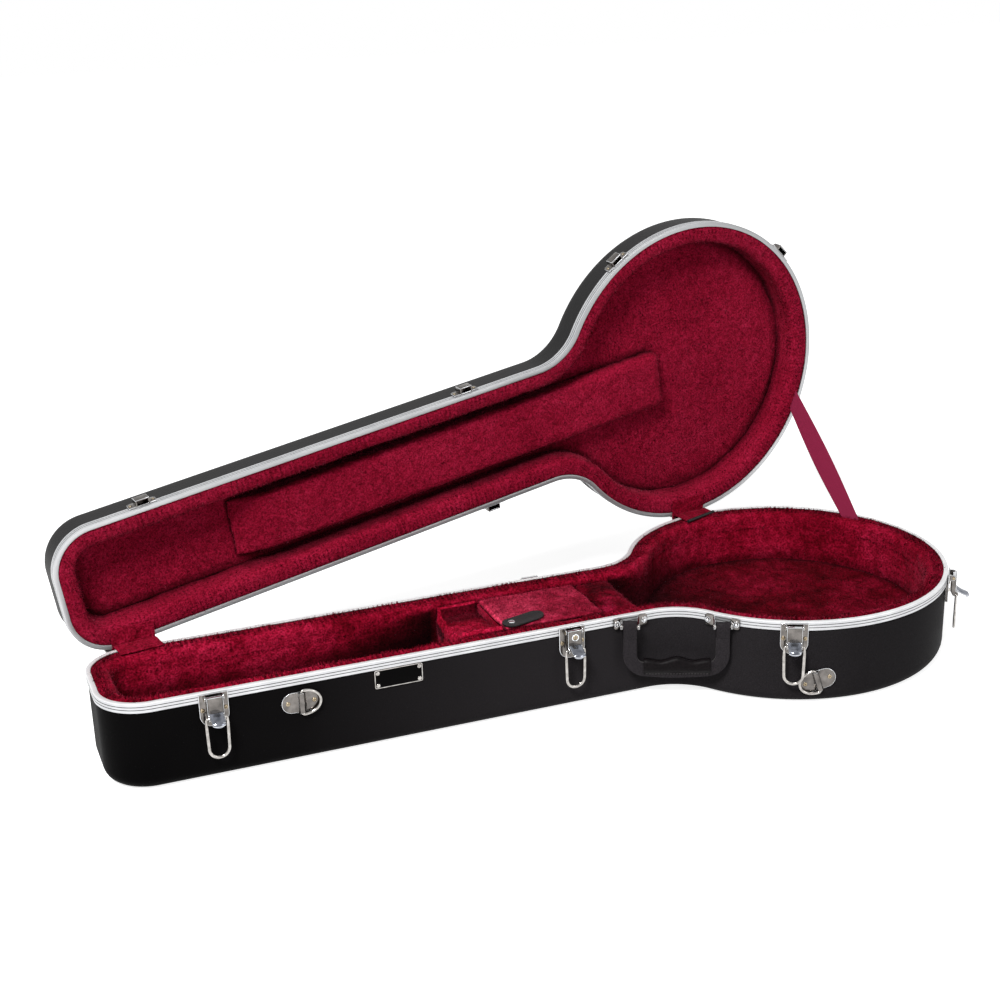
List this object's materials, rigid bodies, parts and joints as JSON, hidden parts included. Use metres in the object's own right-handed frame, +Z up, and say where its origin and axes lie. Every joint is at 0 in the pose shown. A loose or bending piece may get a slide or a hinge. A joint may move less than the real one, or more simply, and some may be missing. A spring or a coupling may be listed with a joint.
{
  "type": "banjo case",
  "caption": "hard case in the outline of a banjo, lid open on a stay ribbon, plush inside, with draw latches, rings, carrying handle and accessory compartment",
  "frame": {"origin": "on the floor, under the centre of the case's round body", "axes": "+Z up; +X along the case to its round end; +Y to the hinge side; the lid stands open as in the picture"},
  "size_m": [1.0603, 0.4746, 0.4897],
  "materials": {
    "base_shell_plastic": "fine leather grain, black",
    "lid_shell_plastic": "fine leather grain, charcoal",
    "rim_aluminium": "satin, bright, with lengthwise grooves",
    "plush": "crimson pile",
    "chrome": "bright nickel plate, rivets brass toned",
    "strap_leather": "grained, charcoal",
    "grip_leather": "smooth black, stitched",
    "tab_leather": "smooth black",
    "ribbon_cloth": "woven crimson ribbon",
    "nameplate_face": "black face, bare, chrome edge and screws"
  },
  "bodies": {
    "base": {"base_shell": "base_shell_plastic", "base_rim": "rim_aluminium", "base_side_padding": "plush", "base_well_pad": "plush", "base_neck_pad": "plush", "heel_block": "plush", "cradle_block": "plush", "compartment_box": "plush", "hinge_1_base_leaf": "chrome", "hinge_1_pin": "chrome", "hinge_2_base_leaf": "chrome", "hinge_2_pin": "chrome", "hinge_flap_1": "plush", "hinge_flap_2": "plush", "stay_ribbon": "ribbon_cloth", "nameplate": "nameplate_face", "ring_bracket_1": "chrome", "ring_bracket_2": "chrome", "handle_bar_1": "chrome", "handle_bar_2": "chrome", "handle_bracket_1": "chrome", "handle_bracket_2": "chrome", "handle_bracket_3": "chrome", "handle_bracket_4": "chrome", "latch_1_plate": "chrome", "latch_2_plate": "chrome", "latch_3_plate": "chrome", "latch_4_plate": "chrome", "latch_5_plate": "chrome"},
    "lid": {"lid_shell": "lid_shell_plastic", "lid_rim": "rim_aluminium", "lid_side_padding": "plush", "lid_panel_pad": "plush", "lid_neck_pad": "plush", "hinge_1_lid_leaf": "chrome", "hinge_2_lid_leaf": "chrome", "lid_catch_1": "chrome", "lid_catch_2": "chrome", "lid_catch_3": "chrome", "lid_catch_4": "chrome", "lid_catch_5": "chrome"},
    "compartment_cover": {"compartment_lid": "plush", "pull_tab": "tab_leather", "pull_tab_rivet": "chrome"},
    "lever_1": {"latch_1_lever": "chrome"},
    "bail_1": {"latch_1_bail": "chrome"},
    "lever_2": {"latch_2_lever": "chrome"},
    "bail_2": {"latch_2_bail": "chrome"},
    "lever_3": {"latch_3_lever": "chrome"},
    "bail_3": {"latch_3_bail": "chrome"},
    "lever_4": {"latch_4_lever": "chrome"},
    "bail_4": {"latch_4_bail": "chrome"},
    "lever_5": {"latch_5_lever": "chrome"},
    "bail_5": {"latch_5_bail": "chrome"},
    "ring_1": {"d_ring_1": "chrome"},
    "ring_2": {"d_ring_2": "chrome"},
    "handle": {"handle_strap": "strap_leather", "handle_grip": "grip_leather"}
  },
  "joints": [
    {"name": "lid_hinge", "type": "hinge", "parent": "base", "child": "lid", "pos_m": [-0.03033, 0.19748, 0.094], "axis": [0.9884, 0.1518, 0], "range_deg": [0, 87.1], "deforming": ["stay_ribbon", "hinge_flap_1", "hinge_flap_2"]},
    {"name": "compartment_hinge", "type": "hinge", "parent": "base", "child": "compartment_cover", "pos_m": [-0.2653, 0, 0.1], "axis": [0, -1, 0], "range_deg": [-85, 0]},
    {"name": "lever_1_hinge", "type": "hinge", "parent": "base", "child": "lever_1", "pos_m": [-0.73, -0.0835, 0.098], "axis": [1, 0, 0], "range_deg": [-110, 0]},
    {"name": "bail_1_hinge", "type": "hinge", "parent": "lever_1", "child": "bail_1", "pos_m": [-0.73, -0.0875, 0.0775], "axis": [1, 0, 0], "range_deg": [-150, 0]},
    {"name": "lever_2_hinge", "type": "hinge", "parent": "base", "child": "lever_2", "pos_m": [-0.321, -0.0835, 0.098], "axis": [1, 0, 0], "range_deg": [-110, 0]},
    {"name": "bail_2_hinge", "type": "hinge", "parent": "lever_2", "child": "bail_2", "pos_m": [-0.321, -0.0875, 0.0775], "axis": [1, 0, 0], "range_deg": [-150, 0]},
    {"name": "lever_3_hinge", "type": "hinge", "parent": "base", "child": "lever_3", "pos_m": [-0.09288, -0.17994, 0.098], "axis": [0.8886, -0.4586, 0], "range_deg": [-110, 0]},
    {"name": "bail_3_hinge", "type": "hinge", "parent": "lever_3", "child": "bail_3", "pos_m": [-0.09471, -0.1835, 0.0775], "axis": [0.8886, -0.4586, 0], "range_deg": [-150, 0]},
    {"name": "lever_4_hinge", "type": "hinge", "parent": "base", "child": "lever_4", "pos_m": [0.16172, -0.12187, 0.098], "axis": [0.6018, 0.7986, 0], "range_deg": [-110, 0]},
    {"name": "bail_4_hinge", "type": "hinge", "parent": "lever_4", "child": "bail_4", "pos_m": [0.16492, -0.12427, 0.0775], "axis": [0.6018, 0.7986, 0], "range_deg": [-150, 0]},
    {"name": "lever_5_hinge", "type": "hinge", "parent": "base", "child": "lever_5", "pos_m": [-0.307, 0.0835, 0.098], "axis": [-1, 0, 0], "range_deg": [-110, 0]},
    {"name": "bail_5_hinge", "type": "hinge", "parent": "lever_5", "child": "bail_5", "pos_m": [-0.307, 0.0875, 0.0775], "axis": [-1, 0, 0], "range_deg": [-150, 0]},
    {"name": "ring_1_hinge", "type": "hinge", "parent": "base", "child": "ring_1", "pos_m": [-0.6365, -0.0786, 0.072], "axis": [0, 0, 1], "range_deg": [-170, 0]},
    {"name": "ring_2_hinge", "type": "hinge", "parent": "base", "child": "ring_2", "pos_m": [-0.06433, -0.18683, 0.0305], "axis": [0.2764, -0.0952, -0.9563], "range_deg": [-170, 0]},
    {"name": "handle_hinge", "type": "hinge", "parent": "base", "child": "handle", "pos_m": [-0.2545, -0.087, 0.093], "axis": [0.9107, -0.413, 0], "range_deg": [-100, 0]}
  ]
}
